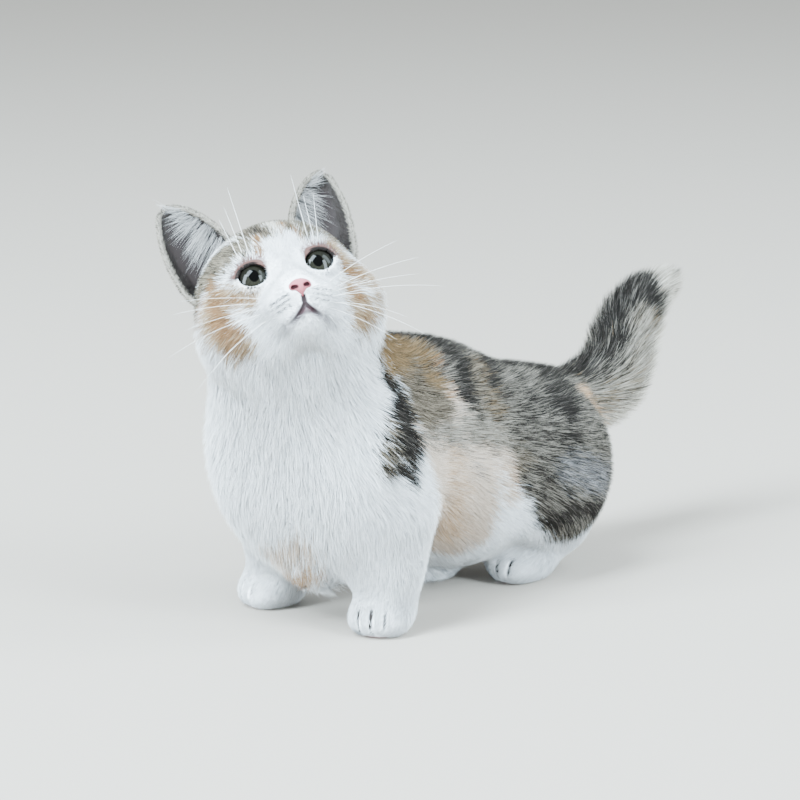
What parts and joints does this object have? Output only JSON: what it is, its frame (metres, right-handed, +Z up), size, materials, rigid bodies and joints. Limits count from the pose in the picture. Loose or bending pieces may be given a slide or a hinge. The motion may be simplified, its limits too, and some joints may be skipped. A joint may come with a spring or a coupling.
{
  "type": "munchkin cat",
  "caption": "Short-legged munchkin kitten, standing with chest raised and hindquarters low, looking up to its left, tail in a low hook; white with tabby and grey patches.",
  "frame": {"origin": "on the floor under the centre of the whole kitten's box, from nose to tail tip", "axes": "+Z up, the kitten faces -Y, its left side is +X"},
  "size_m": [0.1057, 0.2926, 0.1843],
  "materials": {
    "white_coat": "soft white fur",
    "patched_coat": "soft fur, tan, cream, grey and near-black patches",
    "grey_coat": "soft grey ticked fur, pale below",
    "ear_skin": "thin pink-grey skin with fine white hair",
    "nose_leather": "moist pink nose leather",
    "eye_surface": "wet olive-grey eye"
  },
  "bodies": {
    "root": {"head": "white_coat", "nose": "nose_leather", "eye_left": "eye_surface", "eye_right": "eye_surface", "ear_left": "ear_skin", "ear_right": "ear_skin", "neck": "white_coat", "torso": "patched_coat", "foreleg_left": "white_coat", "foreleg_right": "white_coat", "hindleg_left": "patched_coat", "hindleg_right": "patched_coat", "tail_base": "grey_coat", "tail_end": "grey_coat"}
  },
  "joints": []
}
